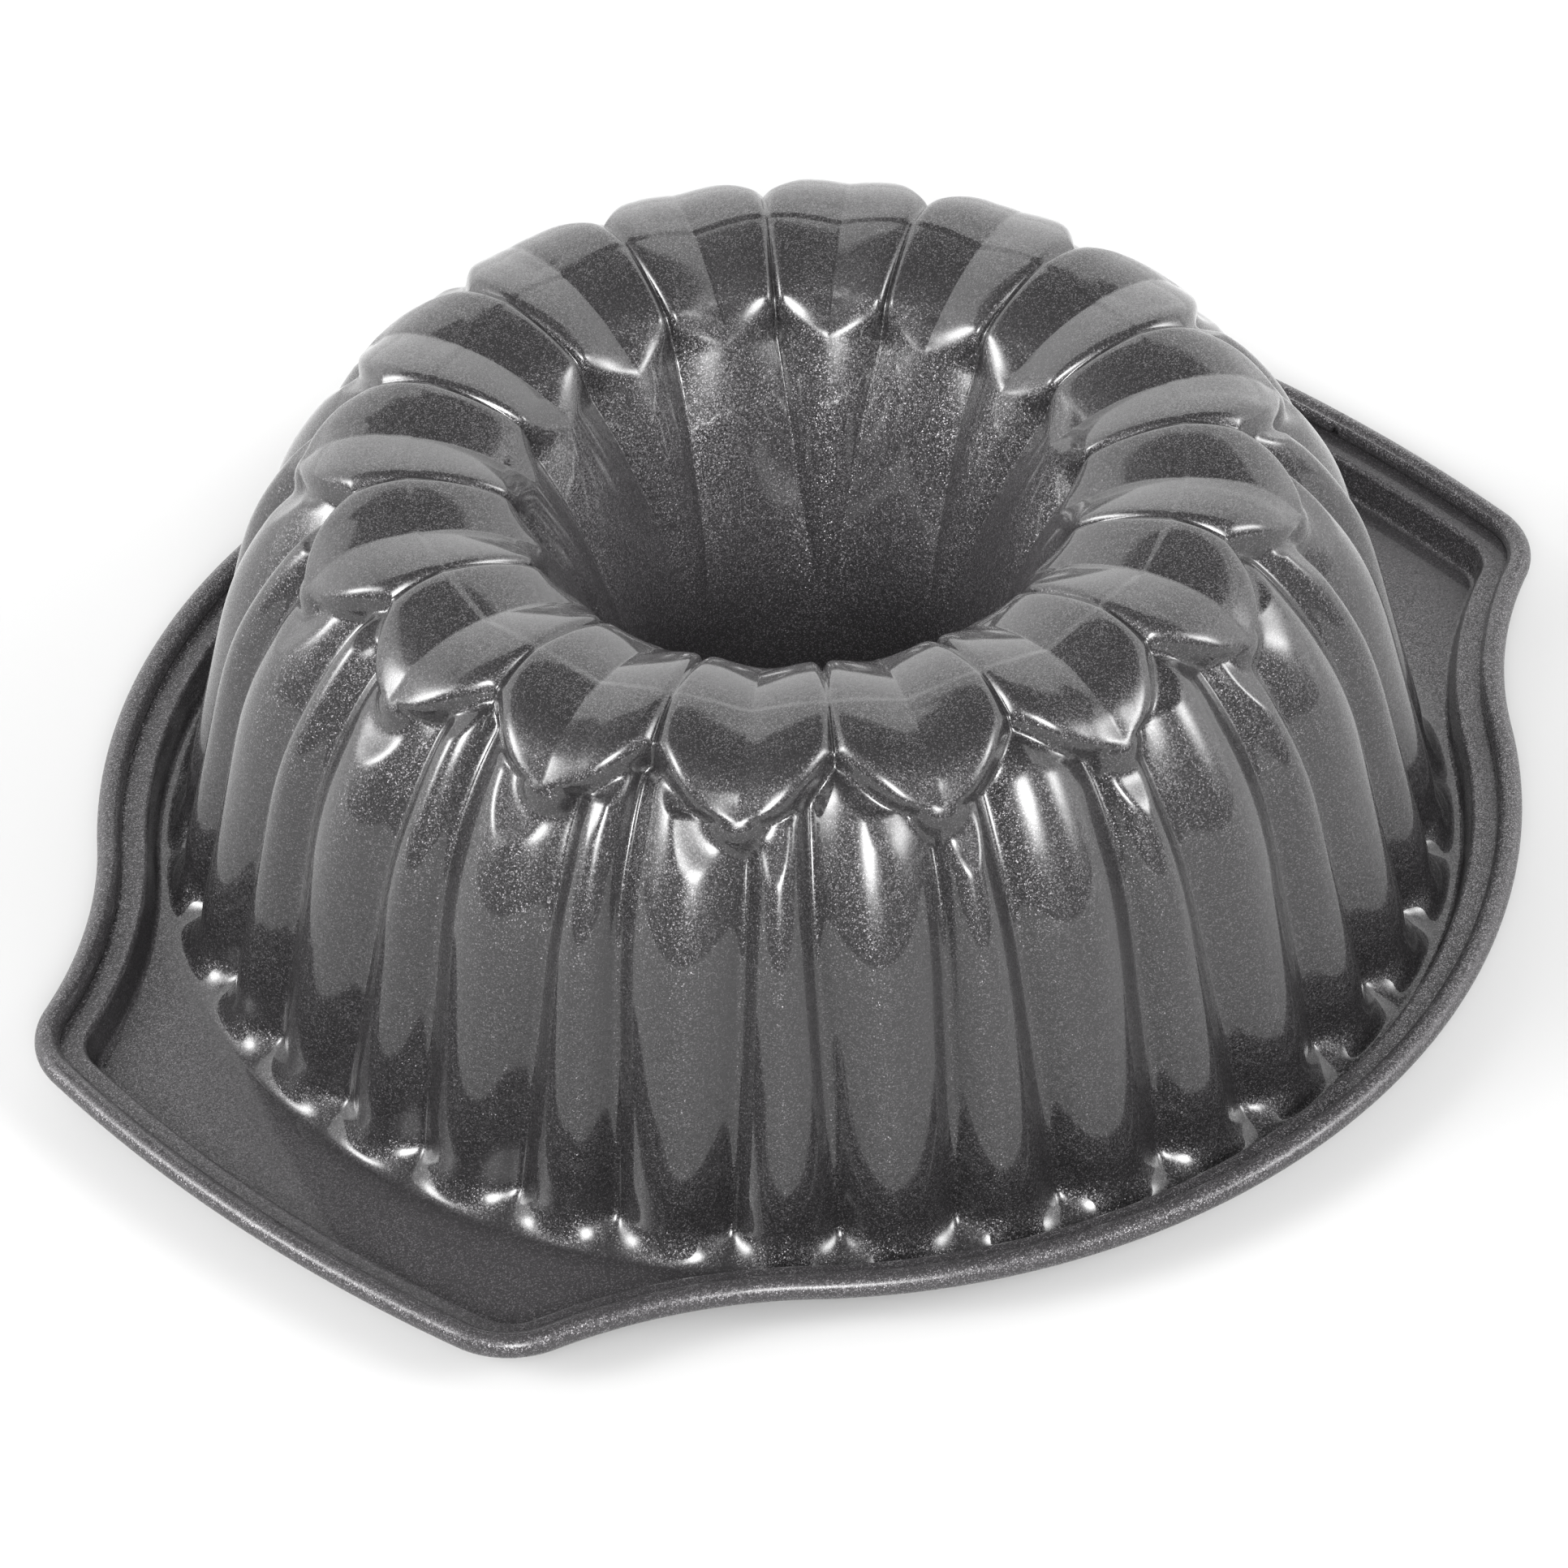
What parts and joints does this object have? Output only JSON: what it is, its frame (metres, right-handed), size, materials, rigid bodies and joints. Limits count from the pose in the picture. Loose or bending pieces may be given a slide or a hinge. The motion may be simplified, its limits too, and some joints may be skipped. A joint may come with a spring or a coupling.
{
  "type": "bundt pan",
  "caption": "Deep fluted ring-cake pan with petalled crown, tapered open centre tube, flat flange, rolled rim and two pointed handle tabs",
  "frame": {"origin": "centre of the footprint on the underside of the flat flange", "axes": "+X through the handle tabs, +Z towards the crown, as the pan stands upside down on its flange"},
  "size_m": [0.2906, 0.2562, 0.0864],
  "materials": {
    "coated_steel": "satin",
    "wire_steel": "satin"
  },
  "bodies": {
    "root": {"centre_tube": "coated_steel", "petal_crown": "coated_steel", "fluted_wall": "coated_steel", "flange": "coated_steel", "rim_step": "coated_steel", "rolled_rim": "coated_steel", "rim_wire": "wire_steel"}
  },
  "joints": []
}
